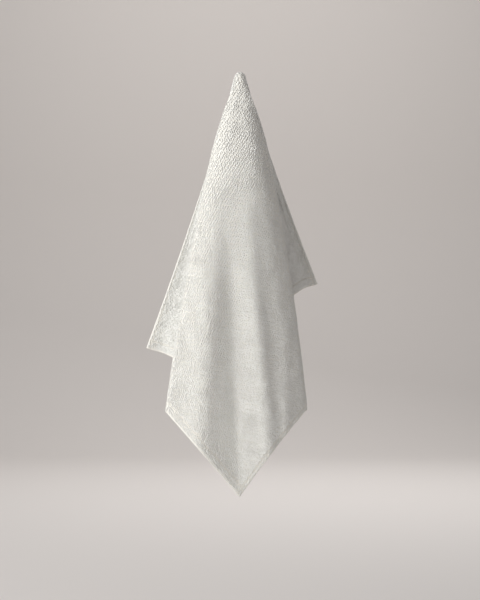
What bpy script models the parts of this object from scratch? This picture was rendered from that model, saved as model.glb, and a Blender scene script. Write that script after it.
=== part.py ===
"""A terry hand towel as it hangs from one point: a single cloth, held near the middle of one long side.

The flat cloth is measured from the hold, its hanging point. Every line of the cloth that runs straight away
from the hold hangs nearly plumb, so a fold is a line at one angle of the flat cloth, and the folds together
are the rows of one table. At each distance down the cloth its section runs back and forth from fold to fold.

Metres, +Z up. The origin is the middle of the short ridge where the cloth lies over its peg. -Y is the front
of the towel and +Y is the side of the wall.
"""

import math
from collections import namedtuple

import bpy

# The cloth lying flat
WIDTH = 0.660  # along the long side that it hangs by
LENGTH = 0.406
THICKNESS = 0.0021
SQUEEZED = 0.45  # share of its thickness that the cloth keeps where it is drawn together at the hold
SQUEEZED_TO = 0.085  # distance from the hold where it has all of it
HOLD_FROM_LEFT = 0.372  # the hold, from the left end of that long side
HOLD_IN = 0.016  # and in from its edge: the length of cloth that lies along the peg

# The tip, a small hood over the peg
TIP_RADIUS = 0.0065  # of the middle of the cloth where it bends down over the peg
TIP_ARC = TIP_RADIUS * math.pi / 2
HOOD_LEFT = 0.265  # how fast the hood widens to each side, per metre down
HOOD_RIGHT = 0.280
RIDGE_FRONT = -HOLD_IN / 2
RIDGE_BACK = HOLD_IN / 2
GATHER_FROM, TUCKED_AT = 0.014, 0.052  # distances from the hold between which the hood is tucked in
SPREAD_FROM, SPREAD_TO = 0.020, 0.110  # and between which the folds spread out sideways
FAN_ABOVE = 0.020  # the lines of the folds fan out from this far above the hold
BOW_HIGH = 0.7  # below 1 the folds bow out most in their upper half

# How far the cloth stands forward of the ridge, at this distance from the hold and beyond it
FULL_OUT_AT = 0.300
HOOD_OUT = 0.027  # the hood, if it stayed open
LEFT_OUT, RIGHT_OUT = 0.022, 0.014  # the left and right folds of the front face

# The arch of the front face between these two folds
ARCH_OUT = 0.016  # how far its middle stands forward of them
ARCH_AT = 0.125  # distance from the hold where it does so
ARCH_POWER = 3.0  # above 2 the arch is flattest in its middle

# Every fold and edge of the cloth, in order from its left edge to its right edge.
#   angle   of its line on the flat cloth at the hold, from the left half of the long side, in degrees
#   ahead   direction in which it leaves the peg: 0 is left, 90 is forward and 180 is right
#   along   where it starts on the ridge: 0 at the peg's end and 1 at the wall
#   tuck    its place across the hood where the folds begin, as a share of half of the hood's width
#   formed  distance from the hold where it has its full depth
#   lean    sideways travel for each metre of its length, to the right
#   bow     how far its middle stands off its straight line, to the right
#   into, out_of   depth of the layer before it and of the layer after it: 0 is the front face, 1 the back
Fold = namedtuple("Fold", "name angle ahead along tuck formed lean bow into out_of")
FOLDS = (
    Fold("left edge", 0.0, 0, 1, -0.95, 0.060, -0.306, 0.0050, 1.00, 1.00),
    Fold("left hem line", 0.0, 0, 0, -0.95, 0.260, -0.273, 0.0045, 1.00, 1.00),
    Fold("left flap bend", 9.0, 10, 0, -0.88, 0.200, -0.190, 0.0000, 0.68, 0.68),
    Fold("left flap turn", 15.0, 18, 0, -0.85, 0.140, -0.140, 0.0000, 0.27, 0.27),
    Fold("left inner fold", 22.0, 26, 0, -0.80, 0.060, -0.030, 0.0000, 0.24, 0.12),
    Fold("left front fold", 32.5, 36, 0, -1.00, 0.060, -0.202, -0.0090, 0.12, 0.00),
    Fold("front corner", 46.35, 88, 0, 0.00, 0.060, -0.001, 0.0000, 0.00, 0.00),
    Fold("right front fold", 63.0, 142, 0, 1.00, 0.060, 0.184, 0.0120, 0.00, 0.19),
    Fold("inner fold 1", 82.0, 147, 0, 0.40, 0.060, -0.135, 0.0000, 0.36, 0.47),
    Fold("inner fold 2", 99.5, 151, 0, 0.30, 0.060, 0.160, 0.0000, 0.46, 0.57),
    Fold("inner fold 3", 116.0, 155, 0, 0.12, 0.060, -0.120, 0.0000, 0.59, 0.70),
    Fold("rear corner", 126.4, 158, 0, 0.10, 0.060, 0.045, 0.0000, 0.71, 0.71),
    Fold("inner fold 4", 132.5, 161, 0, 0.08, 0.060, 0.145, 0.0000, 0.71, 0.83),
    Fold("inner fold 5", 147.5, 165, 0, -0.10, 0.060, -0.095, 0.0000, 0.86, 0.98),
    Fold("right flap bend", 162.0, 169, 0, 0.42, 0.060, 0.165, 0.0000, 1.00, 1.00),
    Fold("right flap crest", 168.0, 174, 0, 0.80, 0.180, 0.212, 0.0000, 0.66, 0.66),
    Fold("right hem line", 180.0, 180, 0, 0.95, 0.288, 0.285, -0.0040, 1.00, 1.00),
    Fold("right edge", 180.0, 180, 1, 0.95, 0.060, 0.323, -0.0045, 1.00, 1.00),
)
FRONT_FOLDS = [fold for fold in FOLDS if min(fold.into, fold.out_of) == 0]

# The soft upright waves in the arch of the front face.
#   at_hold, at_end    its place to the right of the hold, there and END_AT down the cloth
#   forward            how far it stands out
#   reach_at_hold, reach_at_end   half of its width
#   begins, full       distances from the hold where it starts and where it is fully out
Wave = namedtuple("Wave", "name at_hold at_end forward reach_at_hold reach_at_end begins full")
WAVES = (
    Wave("left wave", -0.030, -0.050, 0.0080, 0.012, 0.021, 0.130, 0.360),
    Wave("valley", -0.022, -0.001, -0.0030, 0.008, 0.014, 0.130, 0.360),
    Wave("middle wave", -0.008, 0.038, 0.0045, 0.008, 0.014, 0.130, 0.360),
    Wave("right wave", 0.050, 0.058, 0.0012, 0.008, 0.008, 0.280, 0.420),
)
END_AT = 0.500

# The mesh
ROWS = 21
TIP_ROWS = 9  # of which these stand at the same distances from the hold on every line, and closer together
TIP_END = 0.064  # distance from the hold of the last of these
TIP_CROWDING = 1.4  # above 1 they stand closest at the hold
RUN_STEPS = 4  # along a hidden layer
FACE_STEPS = 10  # along each half of the front face
TURN_STEPS = 2  # in each half of a fold's round end
WIDEST_TURN = 0.35  # the most of a layer that the round end of a fold may take up


def smooth(value):
    """0 below 0 and 1 above 1, with a soft step between them."""
    value = min(max(value, 0.0), 1.0)
    return value * value * (3.0 - 2.0 * value)


def mix(first, second, share):
    return first + (second - first) * share


def quarter(share):
    """Sine and cosine of a share of a quarter turn."""
    return math.sin(share * math.pi / 2), math.cos(share * math.pi / 2)


def cloth_reach(angle):
    """Length of the flat cloth from the hold to its edge, along the line at an angle."""
    side = HOLD_FROM_LEFT if angle < 90 else WIDTH - HOLD_FROM_LEFT
    turned = math.radians(angle)
    if math.sin(turned) * side < abs(math.cos(turned)) * (LENGTH - HOLD_IN):
        return side / abs(math.cos(turned))
    return (LENGTH - HOLD_IN) / math.sin(turned)


def distance(step, reach):
    """Distance from the hold at a step down a line of the cloth: STEP goes from 0 to 1 over its whole reach."""
    tip_share = TIP_ROWS / ROWS
    if step < tip_share:
        return TIP_END * (step / tip_share) ** TIP_CROWDING
    return mix(TIP_END, reach, (step - tip_share) / (1 - tip_share))


def turns_back(index):
    """1 where the cloth turns back at a right end, -1 at a left end, and 0 where it runs on."""
    if not 0 < index < len(FOLDS) - 1:
        return 0
    before, here, after = (FOLDS[index + step].lean for step in (-1, 0, 1))
    return (here > before and here > after) - (here < before and here < after)


def fold_line(fold, far):
    """Place of a fold across the towel, at a distance from the hold."""
    down = min(far / cloth_reach(fold.angle), 1.0) ** BOW_HIGH
    return fold.lean * (far + FAN_ABOVE) + fold.bow * 4 * down * (1 - down)


def front_face(across, far):
    """Depth of the front face, at a place across it and a distance from the hold."""
    left, right = fold_line(FRONT_FOLDS[0], far), fold_line(FRONT_FOLDS[-1], far)
    beside = min(max((2 * across - left - right) / (right - left), -1.0), 1.0)
    out = mix(TIP_RADIUS, mix(LEFT_OUT, RIGHT_OUT, (beside + 1) / 2), smooth(far / FULL_OUT_AT))
    out += ARCH_OUT * smooth(far / ARCH_AT) * (1 - abs(beside) ** ARCH_POWER)
    for wave in WAVES:
        grown = smooth((far - wave.begins) / (wave.full - wave.begins))
        beside = across - mix(wave.at_hold, wave.at_end, far / END_AT)
        reach = mix(wave.reach_at_hold, wave.reach_at_end, far / END_AT)
        out += wave.forward * grown * math.exp(-((beside / reach) ** 2))
    return RIDGE_FRONT - out


def round_end(index, step):
    """Side, radius and flat angle of half of the round end of a fold, at a step down the cloth."""
    fold, side = FOLDS[index], turns_back(index)
    if not side:
        return 0, 0.0, 0.0
    far = distance(step, cloth_reach(fold.angle))
    across = fold.lean * (far + FAN_ABOVE)
    radius = abs(fold.out_of - fold.into) * (RIDGE_BACK - front_face(across, far)) / 2
    return side, radius, math.degrees(math.pi / 2 * radius / max(far, TIP_RADIUS))


def spread_at(far):
    """How far the folds have spread, at a distance from the hold."""
    return smooth((far - SPREAD_FROM) / (SPREAD_TO - SPREAD_FROM))


def unlayered(fold):
    """Depth of a fold before it spreads: between its layers, or on the front face."""
    return 0.0 if min(fold.into, fold.out_of) == 0 else (fold.into + fold.out_of) / 2


def section_point(index, leave, run, arrive, step):
    """A point of the layer from fold INDEX to the next. Along the layer, first LEAVE, then RUN and then
    ARRIVE go from 0 to 1: through the first fold's round end, the layer itself and the next fold's end."""
    start, end = FOLDS[index], FOLDS[index + 1]
    start_side, start_radius, start_angle = round_end(index, step)
    end_side, end_radius, end_angle = round_end(index + 1, step)
    span = end.angle - start.angle
    start_angle, end_angle = min(start_angle, WIDEST_TURN * span), min(end_angle, WIDEST_TURN * span)
    turned = leave * start_angle + run * (span - start_angle - end_angle) + arrive * end_angle
    part = turned / span if span else run
    reach = cloth_reach(start.angle + turned)
    far = distance(step, reach)

    # Sideways, on the lines of the folds, drawn in where the ends are round
    line = mix(start.lean, end.lean, run) * (far + FAN_ABOVE)
    down = (far / reach) ** BOW_HIGH
    line += mix(start.bow, end.bow, run) * 4 * down * (1 - down)
    widest = WIDEST_TURN * abs(end.lean - start.lean) * (far + FAN_ABOVE)
    start_in = start_side * min(start_radius, widest) * (1 - quarter(leave)[1])
    end_in = end_side * min(end_radius, widest) * (1 - quarter(arrive)[0])
    across = line - mix(start_in, end_in, run)

    # Depth, as a share from the front face to the back: straight from fold to fold at first, in layers later
    leaving = mix((start.into + start.out_of) / 2, start.out_of, quarter(leave)[0])
    arriving = mix((end.into + end.out_of) / 2, end.into, quarter(arrive)[1])
    layered = mix(leaving, arriving, smooth(run))
    share = mix(mix(unlayered(start), unlayered(end), part), layered, spread_at(far))
    depth = mix(front_face(across, far), RIDGE_BACK, share)

    # The hood that the folds grow out of
    ahead = math.radians(mix(start.ahead, end.ahead, part))
    along, tuck, formed = (
        mix(getattr(start, name), getattr(end, name), part) for name in ("along", "tuck", "formed")
    )
    return far, across, depth, ahead, along, tuck, formed


def hood_width(far, side):
    """Half of the hood's width, on its left (a negative side) or its right."""
    return TIP_RADIUS + (HOOD_LEFT if side < 0 else HOOD_RIGHT) * max(far - TIP_ARC, 0.0)


def hood(ahead, along, far):
    """Place across and depth on the open hood, before any fold."""
    across = -math.cos(ahead) * hood_width(far, -math.cos(ahead))
    out = mix(TIP_RADIUS, HOOD_OUT, smooth(far / FULL_OUT_AT))
    return across, mix(RIDGE_FRONT, RIDGE_BACK, along) - math.sin(ahead) * out


def hung_point(index, leave, run, arrive, step):
    """Where a point of the cloth hangs: on the hood at first, then tucked in, then spread along its fold. Its
    distance from the hold comes last."""
    far, across, depth, ahead, along, tuck, formed = section_point(index, leave, run, arrive, step)
    hood_across, hood_depth = hood(ahead, along, far)
    gathered = smooth((far - GATHER_FROM) / (formed - GATHER_FROM))
    tucked = smooth((far - GATHER_FROM) / (TUCKED_AT - GATHER_FROM))
    over, under = quarter(min(far / TIP_ARC, 1.0))
    start = mix(RIDGE_FRONT, RIDGE_BACK, along)
    x = mix(mix(hood_across, tuck * hood_width(far, tuck), tucked), across, spread_at(far)) * over
    y = mix(start, mix(hood_depth, depth, gathered), over)
    z = TIP_RADIUS * (1 - under)
    if far > TIP_ARC:
        arc_x, arc_y = hood(ahead, along, TIP_ARC)
        z += math.sqrt(max((far - TIP_ARC) ** 2 - (x - arc_x) ** 2 - (y - arc_y) ** 2, 0.0))
    return (x, y, -z), far


def columns():
    """(index, leave, run, arrive) of each line of the mesh that runs down the cloth, from left to right."""
    found = []
    for index in range(len(FOLDS) - 1):
        steps = FACE_STEPS if FOLDS[index].out_of == 0 else RUN_STEPS
        turns = [step / TURN_STEPS for step in range(TURN_STEPS)]
        if turns_back(index):
            found += [(index, turn, 0.0, 0.0) for turn in turns]
        found += [(index, 1.0, step / steps, 0.0) for step in range(steps)]
        if turns_back(index + 1):
            found += [(index, 1.0, 1.0, turn) for turn in turns]
    return [*found, (len(FOLDS) - 2, 1.0, 1.0, 1.0)]


def clear_scene():
    for item in list(bpy.data.objects):
        bpy.data.objects.remove(item, do_unlink=True)


def terry():
    """White looped cotton."""
    material = bpy.data.materials.new("white terry")
    material.use_nodes = True
    shader = material.node_tree.nodes["Principled BSDF"]
    shader.inputs["Base Color"].default_value = (0.80, 0.79, 0.75, 1.0)
    shader.inputs["Roughness"].default_value = 0.95
    shader.inputs["Metallic"].default_value = 0.0
    return material


def make_towel(collection):
    """A grid, one column for each line down the cloth and one row for each step along it, is hung, is
    joined along the ridge and at the hold, and is given its thickness."""
    lines = columns()
    bpy.ops.mesh.primitive_grid_add(x_subdivisions=len(lines) - 1, y_subdivisions=ROWS, size=1)
    towel = bpy.context.object
    towel.name = towel.data.name = "towel"
    squeezed = towel.vertex_groups.new(name="squeezed")
    for number, vertex in enumerate(towel.data.vertices):
        row, column = divmod(number, len(lines))
        vertex.co, far = hung_point(*lines[column], row / ROWS)
        squeezed.add([number], mix(SQUEEZED, 1.0, smooth(far / SQUEEZED_TO)), "REPLACE")
    towel.data.materials.append(terry())

    ridge = towel.modifiers.new("ridge joined", "WELD")
    ridge.merge_threshold = 0.00005
    cloth = towel.modifiers.new("cloth thickness", "SOLIDIFY")
    cloth.thickness = THICKNESS
    cloth.offset = 0.0
    cloth.vertex_group = squeezed.name
    cloth.use_even_offset = False
    for owner in list(towel.users_collection):
        owner.objects.unlink(towel)
    collection.objects.link(towel)


clear_scene()
hand_towel = bpy.data.collections.new("hand towel")
bpy.context.scene.collection.children.link(hand_towel)
make_towel(hand_towel)
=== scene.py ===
"""A white terry hand towel hanging in folds from one hidden point near the middle of a long side.

The towel is one hemmed cloth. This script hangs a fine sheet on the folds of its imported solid, sews the hems,
raises the pile and lights it in a plain studio. Metres, +Z up; the towel's front faces -Y.
"""

import math
from collections import namedtuple
from functools import lru_cache

import bpy
import numpy as np
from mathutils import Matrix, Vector, noise
from mathutils.bvhtree import BVHTree


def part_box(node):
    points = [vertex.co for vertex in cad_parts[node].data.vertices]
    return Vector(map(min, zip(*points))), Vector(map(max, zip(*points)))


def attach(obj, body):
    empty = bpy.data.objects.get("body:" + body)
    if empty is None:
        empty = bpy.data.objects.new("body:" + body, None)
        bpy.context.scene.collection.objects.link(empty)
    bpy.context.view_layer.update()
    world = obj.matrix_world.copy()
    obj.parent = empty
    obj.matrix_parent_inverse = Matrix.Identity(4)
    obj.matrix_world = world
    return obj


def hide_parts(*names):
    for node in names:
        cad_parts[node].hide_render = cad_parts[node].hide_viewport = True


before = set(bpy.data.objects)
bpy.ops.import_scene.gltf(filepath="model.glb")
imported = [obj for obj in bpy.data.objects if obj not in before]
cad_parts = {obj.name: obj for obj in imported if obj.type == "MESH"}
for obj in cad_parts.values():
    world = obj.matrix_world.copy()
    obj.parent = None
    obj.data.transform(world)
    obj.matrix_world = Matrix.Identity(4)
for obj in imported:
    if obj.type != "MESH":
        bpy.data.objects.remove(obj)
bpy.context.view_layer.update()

# ---------------------------------------------------------------------------------------------------------
# The cloth: one rectangle of white cotton terry with four turned and stitched hems. It hangs from a point
# near the middle of one long side, so that side falls down both flanks and the two corners of the other side
# hang lowest. Each line of the flat cloth that runs straight away from the hold hangs nearly plumb.
# ---------------------------------------------------------------------------------------------------------
WIDTH = 0.660  # along the long side that it hangs by
LENGTH = 0.406
GROUND_THICKNESS = 0.0016  # of the woven ground, under the loops that stand on both of its faces
HOLD_FROM_LEFT = 0.372
HOLD_IN = 0.016
SQUEEZED = 0.45  # share of its thickness that the cloth keeps where it is drawn together at the hold
SQUEEZED_TO = 0.085

UNEVEN = 0.014  # size of the cloth's soft unevenness
UNEVEN_HEIGHT = 0.0008

# Its hems
END_HEM = 0.0110  # wide, on the two short sides
SIDE_HEM = 0.0055  # wide, on the two long sides
HEM_THICKNESS = 1.30  # as a share of the ground's, because it is turned over
STITCHED = 0.70  # and along the stitches, which pull it in
STITCHED_REACH = 0.0011
ROUNDED = 0.0011  # width of its soft edge
ROUNDED_THICKNESS = 0.50

# The hood over the peg, and the distances from the hold between which it turns into folds
TIP_RADIUS = 0.0065
TIP_ARC = TIP_RADIUS * math.pi / 2
HOOD_LEFT = 0.265
HOOD_RIGHT = 0.280
RIDGE_FRONT = -HOLD_IN / 2
RIDGE_BACK = HOLD_IN / 2
GATHER_FROM, TUCKED_AT = 0.014, 0.052
SPREAD_FROM, SPREAD_TO = 0.020, 0.110
FAN_ABOVE = 0.020
BOW_HIGH = 0.7  # below 1 the folds bow out most in their upper half
FULL_OUT_AT = 0.300
HOOD_OUT = 0.027  # how far the hood would stand forward there if it stayed open
LEFT_OUT, RIGHT_OUT = 0.022, 0.014  # and how far the two folds of the front face do
ARCH_OUT = 0.016  # how far the middle of the front face arches out beyond them
ARCH_AT = 0.125
ARCH_POWER = 3.0  # above 2 the arch is flattest in its middle

# Every fold and edge of the cloth, from its left edge to its right edge: its angle on the flat cloth, the
# direction in which it leaves the peg, its start along the ridge, its place where the hood is tucked in,
# where it is fully formed, how it leans and bows, the depth of the layers before and after it, and how many
# columns of the sheet the layer after it has.
Fold = namedtuple("Fold", "name angle ahead along tuck formed lean bow into out_of columns")
FOLDS = (
    Fold("left edge", 0.0, 0, 1, -0.95, 0.060, -0.306, 0.0050, 1.00, 1.00, 12),
    Fold("left hem line", 0.0, 0, 0, -0.95, 0.260, -0.273, 0.0045, 1.00, 1.00, 22),
    Fold("left flap bend", 9.0, 10, 0, -0.88, 0.200, -0.190, 0.0000, 0.68, 0.68, 10),
    Fold("left flap turn", 15.0, 18, 0, -0.85, 0.140, -0.140, 0.0000, 0.27, 0.27, 12),
    Fold("left inner fold", 22.0, 26, 0, -0.80, 0.060, -0.030, 0.0000, 0.24, 0.12, 12),
    Fold("left front fold", 32.5, 36, 0, -1.00, 0.060, -0.202, -0.0090, 0.12, 0.00, 44),
    Fold("front corner", 46.35, 88, 0, 0.00, 0.060, -0.001, 0.0000, 0.00, 0.00, 44),
    Fold("right front fold", 63.0, 142, 0, 1.00, 0.060, 0.184, 0.0120, 0.00, 0.19, 18),
    Fold("inner fold 1", 82.0, 147, 0, 0.40, 0.060, -0.135, 0.0000, 0.36, 0.47, 16),
    Fold("inner fold 2", 99.5, 151, 0, 0.30, 0.060, 0.160, 0.0000, 0.46, 0.57, 16),
    Fold("inner fold 3", 116.0, 155, 0, 0.12, 0.060, -0.120, 0.0000, 0.59, 0.70, 12),
    Fold("rear corner", 126.4, 158, 0, 0.10, 0.060, 0.045, 0.0000, 0.71, 0.71, 8),
    Fold("inner fold 4", 132.5, 161, 0, 0.08, 0.060, 0.145, 0.0000, 0.71, 0.83, 16),
    Fold("inner fold 5", 147.5, 165, 0, -0.10, 0.060, -0.095, 0.0000, 0.86, 0.98, 24),
    Fold("right flap bend", 162.0, 169, 0, 0.42, 0.060, 0.165, 0.0000, 1.00, 1.00, 10),
    Fold("right flap crest", 168.0, 174, 0, 0.80, 0.180, 0.212, 0.0000, 0.66, 0.66, 18),
    Fold("right hem line", 180.0, 180, 0, 0.95, 0.288, 0.285, -0.0040, 1.00, 1.00, 12),
    Fold("right edge", 180.0, 180, 1, 0.95, 0.060, 0.323, -0.0045, 1.00, 1.00, 0),
)
FRONT_FOLDS = [fold for fold in FOLDS if min(fold.into, fold.out_of) == 0]

# The soft upright waves in the arch of the front face: each one's place at the hold and END_AT down
# the cloth, how far it stands out, half of its width at both, and the distances where it starts and is full
Wave = namedtuple("Wave", "name at_hold at_end forward reach_at_hold reach_at_end begins full")
WAVES = (
    Wave("left wave", -0.030, -0.050, 0.0080, 0.012, 0.021, 0.130, 0.360),
    Wave("valley", -0.022, -0.001, -0.0030, 0.008, 0.014, 0.130, 0.360),
    Wave("middle wave", -0.008, 0.038, 0.0045, 0.008, 0.014, 0.130, 0.360),
    Wave("right wave", 0.050, 0.058, 0.0012, 0.008, 0.008, 0.280, 0.420),
)
END_AT = 0.500

# The rows of the sheet: close together at the hold, even down the cloth, and set by distance from the edge
# through the hems
TIP_ROWS = 24
TIP_END = 0.064
TIP_CROWDING = 1.4
BODY_ROWS = 78
HEM_ROWS = (
    0.0140, 0.0125, 0.0116, 0.0110, 0.0104, 0.0092, 0.0078, 0.0066, 0.0060, 0.0055, 0.0050, 0.0040, 0.0026,
    0.0014, 0.0006, 0.0,
)
ROWS = TIP_ROWS + BODY_ROWS + len(HEM_ROWS) - 1
TURN_STEPS = 4  # in each half of a fold's round end
WIDEST_TURN = 0.35
CORNER_BLEND = 4.0  # degrees on each side of a corner in which the rows turn from one edge to the next


def smooth(value):
    """0 below 0 and 1 above 1, with a soft step between them."""
    value = min(max(value, 0.0), 1.0)
    return value * value * (3.0 - 2.0 * value)


def mix(first, second, share):
    return first + (second - first) * share


def quarter(share):
    """Sine and cosine of a share of a quarter turn."""
    return math.sin(share * math.pi / 2), math.cos(share * math.pi / 2)


def cloth_reach(angle):
    """Length of the flat cloth from the hold to its edge, along the line at an angle."""
    side = HOLD_FROM_LEFT if angle < 90 else WIDTH - HOLD_FROM_LEFT
    turned = math.radians(angle)
    if math.sin(turned) * side < abs(math.cos(turned)) * (LENGTH - HOLD_IN):
        return side / abs(math.cos(turned))
    return (LENGTH - HOLD_IN) / math.sin(turned)


def edge_away(angle):
    """How far the hold is from the edge that the line at an angle runs to, blended round the corners."""
    left, down, right = HOLD_FROM_LEFT, LENGTH - HOLD_IN, WIDTH - HOLD_FROM_LEFT
    first = math.degrees(math.atan2(down, left))
    second = 180 - math.degrees(math.atan2(down, right))
    away = mix(left, down, smooth((angle - first) / (2 * CORNER_BLEND) + 0.5))
    return mix(away, right, smooth((angle - second) / (2 * CORNER_BLEND) + 0.5))


@lru_cache(maxsize=None)
def distance(row, angle):
    """Distance from the hold of a row of the sheet, on the line at an angle."""
    reach = cloth_reach(angle)
    if row <= TIP_ROWS:
        return TIP_END * (row / TIP_ROWS) ** TIP_CROWDING
    if row <= TIP_ROWS + BODY_ROWS:
        hem_starts = reach * (1 - HEM_ROWS[0] / edge_away(angle))
        return mix(TIP_END, hem_starts, (row - TIP_ROWS) / BODY_ROWS)
    return reach * (1 - HEM_ROWS[row - TIP_ROWS - BODY_ROWS] / edge_away(angle))


@lru_cache(maxsize=None)
def turns_back(index):
    """1 where the cloth turns back at a right end, -1 at a left end, and 0 where it runs on."""
    if not 0 < index < len(FOLDS) - 1:
        return 0
    before, here, after = (FOLDS[index + step].lean for step in (-1, 0, 1))
    return (here > before and here > after) - (here < before and here < after)


def fold_line(fold, far):
    """Place of a fold across the towel, at a distance from the hold."""
    down = min(far / cloth_reach(fold.angle), 1.0) ** BOW_HIGH
    return fold.lean * (far + FAN_ABOVE) + fold.bow * 4 * down * (1 - down)


def front_face(across, far):
    """Depth of the front face, at a place across it and a distance from the hold."""
    left, right = fold_line(FRONT_FOLDS[0], far), fold_line(FRONT_FOLDS[-1], far)
    beside = min(max((2 * across - left - right) / (right - left), -1.0), 1.0)
    out = mix(TIP_RADIUS, mix(LEFT_OUT, RIGHT_OUT, (beside + 1) / 2), smooth(far / FULL_OUT_AT))
    out += ARCH_OUT * smooth(far / ARCH_AT) * (1 - abs(beside) ** ARCH_POWER)
    for wave in WAVES:
        grown = smooth((far - wave.begins) / (wave.full - wave.begins))
        beside = across - mix(wave.at_hold, wave.at_end, far / END_AT)
        reach = mix(wave.reach_at_hold, wave.reach_at_end, far / END_AT)
        out += wave.forward * grown * math.exp(-((beside / reach) ** 2))
    return RIDGE_FRONT - out


@lru_cache(maxsize=None)
def round_end(index, row):
    """Side, radius and flat angle of half of the round end of a fold, at a row of the sheet."""
    fold, side = FOLDS[index], turns_back(index)
    if not side:
        return 0, 0.0, 0.0
    far = distance(row, fold.angle)
    across = fold.lean * (far + FAN_ABOVE)
    radius = abs(fold.out_of - fold.into) * (RIDGE_BACK - front_face(across, far)) / 2
    return side, radius, math.degrees(math.pi / 2 * radius / max(far, TIP_RADIUS))


def spread_at(far):
    """How far the folds have spread, at a distance from the hold."""
    return smooth((far - SPREAD_FROM) / (SPREAD_TO - SPREAD_FROM))


def unlayered(fold):
    """Depth of a fold before it spreads: between its layers, or on the front face."""
    return 0.0 if min(fold.into, fold.out_of) == 0 else (fold.into + fold.out_of) / 2


def section_point(index, leave, run, arrive, row):
    """A point of the layer from fold INDEX to the next. Along the layer, first LEAVE, then RUN and then
    ARRIVE go from 0 to 1: through the first fold's round end, the layer itself and the next fold's end."""
    start, end = FOLDS[index], FOLDS[index + 1]
    start_side, start_radius, start_angle = round_end(index, row)
    end_side, end_radius, end_angle = round_end(index + 1, row)
    span = end.angle - start.angle
    start_angle, end_angle = min(start_angle, WIDEST_TURN * span), min(end_angle, WIDEST_TURN * span)
    turned = leave * start_angle + run * (span - start_angle - end_angle) + arrive * end_angle
    part = turned / span if span else run
    angle = start.angle + turned
    reach, far = cloth_reach(angle), distance(row, angle)

    # Sideways, on the lines of the folds, drawn in where the ends are round
    line = mix(start.lean, end.lean, run) * (far + FAN_ABOVE)
    down = (far / reach) ** BOW_HIGH
    line += mix(start.bow, end.bow, run) * 4 * down * (1 - down)
    widest = WIDEST_TURN * abs(end.lean - start.lean) * (far + FAN_ABOVE)
    start_in = start_side * min(start_radius, widest) * (1 - quarter(leave)[1])
    end_in = end_side * min(end_radius, widest) * (1 - quarter(arrive)[0])
    across = line - mix(start_in, end_in, run)

    # Depth, as a share from the front face to the back: straight from fold to fold at first, in layers later
    leaving = mix((start.into + start.out_of) / 2, start.out_of, quarter(leave)[0])
    arriving = mix((end.into + end.out_of) / 2, end.into, quarter(arrive)[1])
    layered = mix(leaving, arriving, smooth(run))
    share = mix(mix(unlayered(start), unlayered(end), part), layered, spread_at(far))
    depth = mix(front_face(across, far), RIDGE_BACK, share)

    # The hood that the folds grow out of
    ahead = math.radians(mix(start.ahead, end.ahead, part))
    along, tuck, formed = (
        mix(getattr(start, name), getattr(end, name), part) for name in ("along", "tuck", "formed")
    )
    return angle, far, across, depth, ahead, along, tuck, formed


def hood_width(far, side):
    """Half of the hood's width, on its left (a negative side) or its right."""
    return TIP_RADIUS + (HOOD_LEFT if side < 0 else HOOD_RIGHT) * max(far - TIP_ARC, 0.0)


def hood(ahead, along, far):
    """Place across and depth on the open hood, before any fold."""
    across = -math.cos(ahead) * hood_width(far, -math.cos(ahead))
    out = mix(TIP_RADIUS, HOOD_OUT, smooth(far / FULL_OUT_AT))
    return across, mix(RIDGE_FRONT, RIDGE_BACK, along) - math.sin(ahead) * out


def hung_point(index, leave, run, arrive, row):
    """Where a point of the cloth hangs, and where it lies on the flat cloth: from its left end, from its
    upper edge and from the hold."""
    angle, far, across, depth, ahead, along, tuck, formed = section_point(index, leave, run, arrive, row)
    hood_across, hood_depth = hood(ahead, along, far)
    gathered = smooth((far - GATHER_FROM) / (formed - GATHER_FROM))
    tucked = smooth((far - GATHER_FROM) / (TUCKED_AT - GATHER_FROM))
    over, under = quarter(min(far / TIP_ARC, 1.0))
    start = mix(RIDGE_FRONT, RIDGE_BACK, along)
    x = mix(mix(hood_across, tuck * hood_width(far, tuck), tucked), across, spread_at(far)) * over
    y = mix(start, mix(hood_depth, depth, gathered), over)
    z = TIP_RADIUS * (1 - under)
    if far > TIP_ARC:
        arc_x, arc_y = hood(ahead, along, TIP_ARC)
        z += math.sqrt(max((far - TIP_ARC) ** 2 - (x - arc_x) ** 2 - (y - arc_y) ** 2, 0.0))
    from_left = HOLD_FROM_LEFT - far * math.cos(math.radians(angle))
    from_top = HOLD_IN * (1 - along) + far * math.sin(math.radians(angle))
    return Vector((x, y, -z)), from_left, from_top, far


def sheet_columns():
    """(index, leave, run, arrive) of each line of the sheet that runs down the cloth, from left to right."""
    found = []
    for index in range(len(FOLDS) - 1):
        steps = FOLDS[index].columns
        turns = [step / TURN_STEPS for step in range(TURN_STEPS)]
        if turns_back(index):
            found += [(index, turn, 0.0, 0.0) for turn in turns]
        found += [(index, 1.0, step / steps, 0.0) for step in range(steps)]
        if turns_back(index + 1):
            found += [(index, 1.0, 1.0, turn) for turn in turns]
    return [*found, (len(FOLDS) - 2, 1.0, 1.0, 1.0)]


def hem_share(in_from_edge, hem):
    """Thickness of the cloth, as a share of the ground's, at a distance in from an edge with a hem."""
    turned_in = mix(HEM_THICKNESS, 1.0, smooth((in_from_edge - hem) / STITCHED_REACH))
    pulled_in = mix(STITCHED, 1.0, smooth(abs(in_from_edge - hem) / STITCHED_REACH))
    rounded = mix(ROUNDED_THICKNESS, 1.0, smooth(in_from_edge / ROUNDED) ** 0.5)
    return turned_in * pulled_in * rounded


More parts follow.
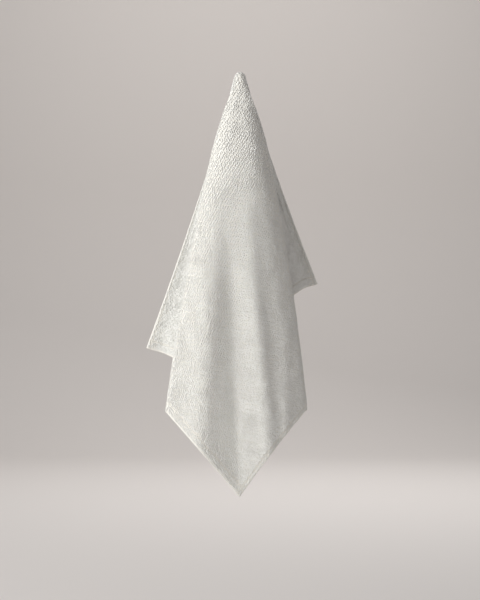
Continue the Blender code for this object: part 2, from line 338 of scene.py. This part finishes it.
lines = sheet_columns()
bpy.ops.object.select_all(action="DESELECT")
bpy.ops.mesh.primitive_grid_add(x_subdivisions=len(lines) - 1, y_subdivisions=ROWS, size=1)
cloth = bpy.context.object
cloth.name = cloth.data.name = "terry_cloth"
thickness = cloth.vertex_groups.new(name="thickness")
flat_places = []
for number, vertex in enumerate(cloth.data.vertices):
    row, column = divmod(number, len(lines))
    vertex.co, from_left, from_top, far = hung_point(*lines[column], row)
    flat_places.append((from_left, from_top))
    share = hem_share(min(from_left, WIDTH - from_left), END_HEM)
    share = min(share, hem_share(min(from_top, LENGTH - from_top), SIDE_HEM))
    share *= mix(SQUEEZED, 1.0, smooth(far / SQUEEZED_TO))
    thickness.add([number], share, "REPLACE")
flat_map = cloth.data.uv_layers[0]
flat_map.name = "flat cloth"
for loop in cloth.data.loops:
    flat_map.data[loop.index].uv = flat_places[loop.vertex_index]

ridge = cloth.modifiers.new("ridge joined", "WELD")
ridge.merge_threshold = 0.00005
faces = cloth.modifiers.new("both faces", "SOLIDIFY")
faces.thickness = GROUND_THICKNESS
faces.offset = 0.0
faces.vertex_group = thickness.name
faces.use_even_offset = False
bpy.context.view_layer.objects.active = cloth
soft = bpy.data.textures.new("soft unevenness", "CLOUDS")
soft.noise_scale = UNEVEN
uneven = cloth.modifiers.new("uneven cloth", "DISPLACE")
uneven.texture = soft
uneven.strength = UNEVEN_HEIGHT
for modifier in list(cloth.modifiers):
    bpy.ops.object.modifier_apply(modifier=modifier.name)
bpy.ops.object.shade_smooth()


class Socket:
    """An output of a shader node, for use in sums."""

    def __init__(self, finish, output):
        self.finish, self.output = finish, output

    def maths(self, operation, *values, **settings):
        inputs = dict(enumerate(values))
        return self.finish.node("Math", {"operation": operation, **settings}, inputs)

    def __add__(self, other):
        return self.maths("ADD", self, other)

    def __sub__(self, other):
        return self.maths("SUBTRACT", self, other)

    def __rsub__(self, other):
        return self.maths("SUBTRACT", other, self)

    def __mul__(self, other):
        return self.maths("MULTIPLY", self, other)

    def least(self, other):
        return self.maths("MINIMUM", self, other)

    def rises(self, low, high):
        """0 up to LOW and 1 from HIGH, with a soft step between them."""
        settings = {"interpolation_type": "SMOOTHSTEP"}
        return self.finish.node("MapRange", settings, {"Value": self, "From Min": low, "From Max": high})


class Finish:
    """A material, and the nodes that make it."""

    def __init__(self, name, **constants):
        self.material = bpy.data.materials.new(name)
        self.material.use_nodes = True
        self.tree = self.material.node_tree
        self.shader = self.tree.nodes["Principled BSDF"]
        for socket, value in constants.items():
            self.shader.inputs[socket.replace("_", " ")].default_value = value

    def join(self, socket, value):
        if isinstance(value, Socket):
            self.tree.links.new(value.output, socket)
        else:
            socket.default_value = value

    def node(self, kind, settings, inputs, output=0):
        """Adds a node: its own settings come first, then the values or links of its sockets."""
        made = self.tree.nodes.new("ShaderNode" + kind)
        for name, value in settings.items():
            setattr(made, name, value)
        for name, value in inputs.items():
            self.join(made.inputs[name], value)
        return Socket(self, made.outputs[output])

    def mixed(self, share, first, second):
        """A colour between two others."""
        return self.node("Mix", {"data_type": "RGBA"}, {0: share, 6: first, 7: second}, 2)

    def feeds(self, socket, value):
        self.join(self.shader.inputs[socket], value)


# The ground between the loops: short loops in rows, and fine ribs on the hems, which are woven flatter
LOOP_ACROSS = 0.0022  # from loop to loop
LOOP_DOWN = 0.0027
LOOP_HEIGHT = 0.0005
RIB = 0.0009
RIB_HEIGHT = 0.00018
FIBRES = 2200.0  # to a metre
FIBRE_HEIGHT = 0.0002
TUFT = 0.006  # size of the patches in which the loops lie one way
HEM_BLEND = (-0.0004, 0.0006)  # about the seam, where the hem's finish gives way to the loops
EDGE_HIGHLIGHT_BLEND = (0.0004, 0.0012)  # in from the edge, where the painted highlight on its rounded edge gives way to the hem's colour
COTTON = (0.87, 0.865, 0.835, 1.0)
# Painted shade: the colour of the hollows between the loops, darker than the loop tops
SHADE_BETWEEN_LOOPS = (0.72, 0.705, 0.66, 1.0)
HEM_COTTON = (0.83, 0.825, 0.79, 1.0)
# Painted highlight: the paler colour of the rounded edge, where it catches the light
EDGE_HIGHLIGHT_COTTON = (0.89, 0.87, 0.81, 1.0)

terry = Finish("white terry", Metallic=0.0, Sheen_Weight=0.15, Sheen_Roughness=0.6)
place = terry.node("UVMap", {"uv_map": flat_map.name}, {})
apart = terry.node("SeparateXYZ", {}, {0: place})
from_left, from_top = apart, Socket(terry, apart.output.node.outputs[1])
end_in = from_left.least(WIDTH - from_left)
side_in = from_top.least(LENGTH - from_top)
hemmed_end = 1 - end_in.rises(*(END_HEM + reach for reach in HEM_BLEND))
hemmed_side = 1 - side_in.rises(*(SIDE_HEM + reach for reach in HEM_BLEND))
hemmed = hemmed_end.maths("MAXIMUM", hemmed_end, hemmed_side)

in_loops = {0: place, 1: (1 / LOOP_ACROSS, 1 / LOOP_DOWN, 1.0)}
scaled = terry.node("VectorMath", {"operation": "MULTIPLY"}, in_loops)
rows = {"Vector": scaled, "Scale": 1.0, "Randomness": 0.7}
loop = 1 - terry.node("TexVoronoi", {"voronoi_dimensions": "2D"}, rows).rises(0.05, 0.75)
fibre = terry.node("TexNoise", {}, {"Vector": place, "Scale": FIBRES, "Detail": 2.0, "Roughness": 0.6})
lying = terry.node("TexNoise", {}, {"Vector": place, "Scale": 1 / TUFT, "Detail": 3.0, "Roughness": 0.6})
ribs = (from_left + from_top) * (2 * math.pi / RIB)
ribs = ribs.maths("SINE", ribs) * 0.5 + 0.5

pile = loop * 0.62 + fibre * 0.22 + lying * 0.5
height = pile * (1 - hemmed) * LOOP_HEIGHT + (ribs * RIB_HEIGHT + fibre * FIBRE_HEIGHT) * hemmed
terry.feeds("Normal", terry.node("Bump", {}, {"Strength": 1.0, "Distance": 1.0, "Height": height}))
# Painted shade and random tone: the colour darkens between the loops, where shade falls, and varies at random
# with the fibres and patches
loop_shade_and_tone = (loop * 0.55 + fibre * 0.25 + lying * 0.35).rises(0.15, 0.75)
pile_with_painted_shade = terry.mixed(loop_shade_and_tone, SHADE_BETWEEN_LOOPS, COTTON)
# Painted highlight: the hem's colour turns paler at the rounded edge of the cloth
hem_with_edge_highlight = terry.mixed(1 - end_in.least(side_in).rises(*EDGE_HIGHLIGHT_BLEND), HEM_COTTON, EDGE_HIGHLIGHT_COTTON)
terry.feeds("Base Color", terry.mixed(hemmed, pile_with_painted_shade, hem_with_edge_highlight))
terry.feeds("Roughness", 0.96 - hemmed * 0.10 - loop * 0.04)
cloth.data.materials.append(terry.material)

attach(cloth, "root")
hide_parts("towel")

# ---------------------------------------------------------------------------------------------------------
# The pile: soft cotton loops that stand in rows on both faces of the ground, close enough to hide most of
# it. They lean together in patches and are smaller on the hems. None stand where the cloth lies against
# itself.
# ---------------------------------------------------------------------------------------------------------
LOOPS_APART = (0.0019, 0.0021)  # across the cloth and down it
LOOP_WANDER = 0.40  # how far a loop strays from its place in the rows, as a share of these
LOOP_RADIUS = 0.00165
LOOP_STANDS = 0.0007  # above the ground
LOOP_ROOT = 0.0006  # and in it
LOOP_WIDEST = 0.00015  # height at which it is widest
LOOP_NARROW = 0.8  # of its width to its length
LOOP_SIZES = (0.70, 1.30)
SIZE_PATCH = 0.0055  # size of the patches with loops of one size
PATCH_SHARE = 0.65  # of a loop's size that its patch sets; chance sets the rest
LEAN = 0.32  # of whole patches, against upright loops
LEAN_PATCH = 0.014
STRAY_LEAN = 0.25  # of single loops
HEM_LOOP = 0.90  # size of the loops on the hems
SEAM_GROOVE = 0.0012  # half of the bare line in which the stitches lie
CLEAR = 0.005  # a loop stands where nothing is nearer than this in front of it
SEED = 7  # of the pile's chances, so that it grows the same each time
HIGH_FROM = 0.47  # a loop belongs to the high ones where its patch, with this much of chance, is above this
HIGH_CHANCE = 0.25
# Painted light and shade mixed with random tone: the high loops, mostly the larger, get a lighter colour and
# the low ones a darker one, in patches
LIT_HIGH_COTTON = (0.89, 0.887, 0.856, 1.0)
SHADED_LOW_COTTON = (0.855, 0.85, 0.815, 1.0)
SLIVER = 1e-4  # of a cell: a triangle as small as this holds no loop and no stitch
SCRAMBLE = ((12.9898, 78.233), (39.346, 11.135))  # any uneven numbers, which make each cell's own chance
SCRAMBLED = 43758.5453

cloth.data.calc_loop_triangles()
triangle_count = len(cloth.data.loop_triangles)
corner_points = np.empty(triangle_count * 3, dtype=np.int32)
corner_loops = np.empty(triangle_count * 3, dtype=np.int32)
cloth.data.loop_triangles.foreach_get("vertices", corner_points)
cloth.data.loop_triangles.foreach_get("loops", corner_loops)
corner_points, corner_loops = corner_points.reshape(-1, 3), corner_loops.reshape(-1, 3)
points = np.empty(len(cloth.data.vertices) * 3, dtype=np.float32)
normals = np.empty(len(cloth.data.vertices) * 3, dtype=np.float32)
flat = np.empty(len(cloth.data.loops) * 2, dtype=np.float32)
cloth.data.vertices.foreach_get("co", points)
cloth.data.vertex_normals.foreach_get("vector", normals)
cloth.data.uv_layers[0].data.foreach_get("uv", flat)
points, normals, flat = points.reshape(-1, 3), normals.reshape(-1, 3), flat.reshape(-1, 2)
cloth_tree = BVHTree.FromPolygons(points.tolist(), corner_points.tolist())


def unit(vectors):
    return vectors / np.maximum(np.linalg.norm(vectors, axis=1, keepdims=True), 1e-9)


def hung_places(wanted, apart):
    """Where places of the flat cloth hang, on both of its faces: their points, normals, directions across and
    down the cloth, and flat places. WANTED gives the flat place of a cell, whose sides are APART. A triangle
    of the cloth holds the places inside it."""
    corners = flat[corner_loops] / apart
    lowest = np.floor(corners.min(axis=1)).astype(int)
    most = (np.ceil(corners.max(axis=1)).astype(int) - lowest).max(axis=0)
    one, two = corners[:, 1] - corners[:, 0], corners[:, 2] - corners[:, 0]
    area = one[:, 0] * two[:, 1] - one[:, 1] * two[:, 0]
    usable = np.abs(area) > SLIVER
    area[~usable] = 1.0
    side_one, side_two = (points[corner_points[:, n]] - points[corner_points[:, 0]] for n in (1, 2))
    across = unit((side_one * two[:, 1:] - side_two * one[:, 1:]) / area[:, None])
    down = unit((side_two * one[:, :1] - side_one * two[:, :1]) / area[:, None])
    found = []
    for column in range(most[0] + 1):
        for row in range(most[1] + 1):
            place = wanted(lowest + (column, row))
            away = place - corners[:, 0]
            second = (away[:, 0] * two[:, 1] - away[:, 1] * two[:, 0]) / area
            third = (one[:, 0] * away[:, 1] - one[:, 1] * away[:, 0]) / area
            inside = usable & (second >= 0) & (third >= 0) & (second + third < 1)
            weights = np.stack([1 - second - third, second, third], axis=1)[inside][:, :, None]
            corner = corner_points[inside]
            hung = (points[corner] * weights).sum(axis=1), (normals[corner] * weights).sum(axis=1)
            found.append((*hung, across[inside], down[inside], place[inside] * apart))
    where, normal, across, down, flat_place = (np.concatenate(part) for part in zip(*found))
    return where, unit(normal), across, down, flat_place


def strayed(cell):
    """The place of a cell's loop, off its middle by as much as the loops wander, the same at each call."""
    stray = np.stack([np.sin(cell @ scramble) for scramble in SCRAMBLE], axis=1)
    return cell + 0.5 + np.modf(stray * SCRAMBLED)[0] * LOOP_WANDER


def stands_clear(point, normal):
    """Whether nothing lies close in front of a point of the cloth."""
    start = Vector(point) + Vector(normal) * LOOP_STANDS / 2
    return cloth_tree.ray_cast(start, Vector(normal), CLEAR)[0] is None


def copies(name, shape, roots, axes, sizes):
    """One mesh of copies of a shape, each at its root, turned to its three axes and scaled to its size."""
    shape_points = np.array([vertex.co for vertex in shape.data.vertices])
    shape_faces = [list(face.vertices) for face in shape.data.polygons]
    count, each = len(roots), len(shape_points)
    placed = np.einsum("nij,kj->nki", axes, shape_points) * sizes[:, None, None] + roots[:, None, :]
    indices = np.concatenate([np.array(face) for face in shape_faces])
    indices = (indices[None, :] + each * np.arange(count)[:, None]).ravel()
    corner_counts = [len(face) for face in shape_faces] * count
    mesh = bpy.data.meshes.new(name)
    mesh.vertices.add(count * each)
    mesh.vertices.foreach_set("co", placed.ravel())
    mesh.loops.add(len(indices))
    mesh.loops.foreach_set("vertex_index", indices)
    mesh.polygons.add(len(corner_counts))
    mesh.polygons.foreach_set("loop_start", np.cumsum([0, *corner_counts])[:-1])
    mesh.polygons.foreach_set("use_smooth", [True] * len(corner_counts))
    mesh.update(calc_edges=True)
    made = bpy.data.objects.new(name, mesh)
    bpy.context.collection.objects.link(made)
    return made


def patchy(places, size):
    """A soft random value of 0 to 1 at each place, that changes over SIZE."""
    return np.array([noise.noise(Vector(place) / size) for place in places]) * 0.5 + 0.5


roots, upright, across, down, flat_place = hung_places(strayed, LOOPS_APART)
in_from_end = np.minimum(flat_place[:, 0], WIDTH - flat_place[:, 0])
in_from_side = np.minimum(flat_place[:, 1], LENGTH - flat_place[:, 1])
grown = np.minimum(np.abs(in_from_end - END_HEM), np.abs(in_from_side - SIDE_HEM)) > SEAM_GROOVE
grown &= np.minimum(in_from_end, in_from_side) > LOOP_RADIUS
grown[grown] = [stands_clear(*each) for each in zip(roots[grown], upright[grown])]
roots, upright = roots[grown], upright[grown]
on_hem = (in_from_end[grown] < END_HEM) | (in_from_side[grown] < SIDE_HEM)

chance = np.random.default_rng(SEED)
noise.seed_set(SEED)
leaning = np.array([noise.noise_vector(Vector(root) / LEAN_PATCH) for root in roots])
leaning = unit(upright + LEAN * leaning + STRAY_LEAN * chance.uniform(-1, 1, roots.shape))
beside = unit(np.cross(leaning, chance.normal(size=roots.shape)))
loop_axes = np.stack([beside, np.cross(leaning, beside), leaning], axis=2)
patch = patchy(roots, SIZE_PATCH)
size_share = PATCH_SHARE * patch + (1 - PATCH_SHARE) * chance.random(len(roots))
loop_sizes = mix(*LOOP_SIZES, size_share)
loop_sizes *= np.where(on_hem, HEM_LOOP, 1.0)

bpy.ops.object.select_all(action="DESELECT")
bpy.ops.mesh.primitive_cone_add(vertices=4, radius1=LOOP_RADIUS, depth=LOOP_STANDS - LOOP_WIDEST,
                                end_fill_type="TRIFAN")
one_loop = bpy.context.object
one_loop.scale.x = LOOP_NARROW
one_loop.location.z = (LOOP_STANDS + LOOP_WIDEST) / 2
bpy.ops.object.transform_apply()
for vertex in one_loop.data.vertices:
    if vertex.co.xy.length < LOOP_RADIUS / 10 and vertex.co.z < LOOP_STANDS / 2:
        vertex.co.z = -LOOP_ROOT

Pile = namedtuple("Pile", "name front high color")
PILES = (
    Pile("front_pile_high", True, True, LIT_HIGH_COTTON),
    Pile("front_pile_low", True, False, SHADED_LOW_COTTON),
    Pile("rear_pile_high", False, True, LIT_HIGH_COTTON),
    Pile("rear_pile_low", False, False, SHADED_LOW_COTTON),
)
is_front = upright[:, 1] < 0
is_high = patch + HIGH_CHANCE * chance.uniform(-1, 1, len(patch)) > HIGH_FROM
for pile in PILES:
    here = (is_front == pile.front) & (is_high == pile.high)
    piece = copies(pile.name, one_loop, roots[here], loop_axes[here], loop_sizes[here])
    finish = Finish(pile.name.replace("_", " "), Base_Color=pile.color, Roughness=0.95, Metallic=0.0)
    piece.data.materials.append(finish.material)
    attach(piece, "root")
    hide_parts("towel")
bpy.data.objects.remove(one_loop)

# ---------------------------------------------------------------------------------------------------------
# The hem stitches: one straight row of white cotton lockstitch along the inner edge of each hem, seen on both
# faces of the cloth.
# ---------------------------------------------------------------------------------------------------------
STITCH_PITCH = 0.0030
STITCH_LENGTH = 0.0024
STITCH_RADIUS = 0.00042
STITCH_STANDS = 0.0004  # its middle, above the cloth
SEAM_CELL = 0.002  # wide, across the seam
NOWHERE = -9.0
STITCH_COTTON = (0.80, 0.785, 0.74, 1.0)


def on_seams(middles, width, hem):
    """The place of each cell that a seam runs through, in cells. HEM is its distance in from both edges."""
    seams = np.where(middles < width / 2, hem, width - hem)
    return np.where(np.abs(seams - middles) <= SEAM_CELL / 2, seams / SEAM_CELL, NOWHERE)


def end_stitches(cell):
    return np.stack([on_seams((cell[:, 0] + 0.5) * SEAM_CELL, WIDTH, END_HEM), cell[:, 1] + 0.5], axis=1)


def side_stitches(cell):
    return np.stack([cell[:, 0] + 0.5, on_seams((cell[:, 1] + 0.5) * SEAM_CELL, LENGTH, SIDE_HEM)], axis=1)


middles, outward, _, along, _ = hung_places(end_stitches, (SEAM_CELL, STITCH_PITCH))
side_middles, side_outward, side_along, _, _ = hung_places(side_stitches, (STITCH_PITCH, SEAM_CELL))
middles = np.concatenate([middles, side_middles])
outward = np.concatenate([outward, side_outward])
along = np.concatenate([along, side_along])
seen = np.array([stands_clear(*each) for each in zip(middles, outward)])
middles, outward, along = middles[seen], outward[seen], along[seen]
middles += outward * STITCH_STANDS
stitch_axes = np.stack([unit(np.cross(along, outward)), outward, along], axis=2)

bpy.ops.object.select_all(action="DESELECT")
bpy.ops.mesh.primitive_uv_sphere_add(segments=6, ring_count=4, radius=STITCH_RADIUS)
one_stitch = bpy.context.object
bpy.ops.object.mode_set(mode="EDIT")
bpy.ops.mesh.select_all(action="SELECT")
bpy.ops.transform.resize(value=(1.0, 1.0, STITCH_LENGTH / (2 * STITCH_RADIUS)))
bpy.ops.object.mode_set(mode="OBJECT")
stitches = copies("hem_stitches", one_stitch, middles, stitch_axes, np.ones(len(middles)))
bpy.data.objects.remove(one_stitch)
thread = Finish("stitch cotton", Base_Color=STITCH_COTTON, Roughness=0.8, Metallic=0.0)
stitches.data.materials.append(thread.material)
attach(stitches, "root")
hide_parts("towel")

# ---------------------------------------------------------------------------------------------------------
# The studio: a plain pale floor that curves up into a backdrop far behind the towel, a large soft light at
# the front left, a weak warm fill opposite it, and lights above and behind for the back and the backdrop.
# ---------------------------------------------------------------------------------------------------------
low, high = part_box("towel")
middle = (low + high) / 2
FLOOR_BELOW = 0.22
SWEEP_BEHIND = 3.4
SWEEP_ROUND = 0.9
SWEEP_UP = 3.2
SWEEP_HALF_WIDTH = 9.0
SWEEP_STEPS = 16  # round its curve
FLOOR_AHEAD = 9.0

floor_z = low.z - FLOOR_BELOW
outline = [(-FLOOR_AHEAD, floor_z)]
for step in range(SWEEP_STEPS + 1):
    up, along = quarter(step / SWEEP_STEPS)
    outline.append((SWEEP_BEHIND + SWEEP_ROUND * (up - 1), floor_z + SWEEP_ROUND * (1 - along)))
outline.append((SWEEP_BEHIND, floor_z + SWEEP_UP))
bpy.ops.mesh.primitive_grid_add(x_subdivisions=1, y_subdivisions=len(outline) - 1, size=1)
sweep = bpy.context.object
sweep.name = "studio_floor"
for number, vertex in enumerate(sweep.data.vertices):
    side = -SWEEP_HALF_WIDTH if number % 2 == 0 else SWEEP_HALF_WIDTH
    vertex.co = (side, *outline[number // 2])
bpy.ops.object.shade_smooth()
paper = Finish("pale paper", Base_Color=(0.66, 0.625, 0.60, 1.0), Roughness=0.9)
sweep.data.materials.append(paper.material)


def lamp(name, place, aim, size, power, colour):
    """A square soft light at a place, turned to its aim."""
    bpy.ops.object.light_add(type="AREA", location=place)
    made = bpy.context.object
    made.name = name
    made.rotation_euler = (Vector(aim) - Vector(place)).to_track_quat("-Z", "Y").to_euler()
    made.data.shape = "SQUARE"
    made.data.size = size
    made.data.energy = power
    made.data.color = colour


lamp("soft key", (-1.75, -0.95, 0.25), middle, 0.8, 37.0, (1.0, 1.0, 0.985))
lamp("warm fill", (1.6, -2.2, -0.7), middle, 1.4, 7.0, (1.0, 0.88, 0.80))
lamp("rear light", (0.5, 1.9, 1.1), middle, 1.2, 24.0, (1.0, 1.0, 1.0))
lamp("backdrop light", (0.0, 1.9, 1.3), (0.0, 3.4, 0.0), 1.6, 16.0, (1.0, 0.98, 0.96))
world = bpy.data.worlds.new("studio air")
world.use_nodes = True
world.node_tree.nodes["Background"].inputs["Color"].default_value = (0.86, 0.86, 0.88, 1.0)
world.node_tree.nodes["Background"].inputs["Strength"].default_value = 0.34
bpy.context.scene.world = world
bpy.context.scene.view_settings.view_transform = "Standard"

# The camera looks straight at the towel's front, with room around it
CAMERA_AWAY = 1.9
CAMERA_BELOW = 0.2885  # the hold
VIEW_HEIGHT = 0.765  # of what it sees at the towel
bpy.ops.object.camera_add(location=(0.0, -CAMERA_AWAY, -CAMERA_BELOW))
camera = bpy.context.object
camera.rotation_euler = (math.radians(90), 0.0, 0.0)
camera.data.lens = camera.data.sensor_width * CAMERA_AWAY / VIEW_HEIGHT
bpy.context.scene.camera = camera
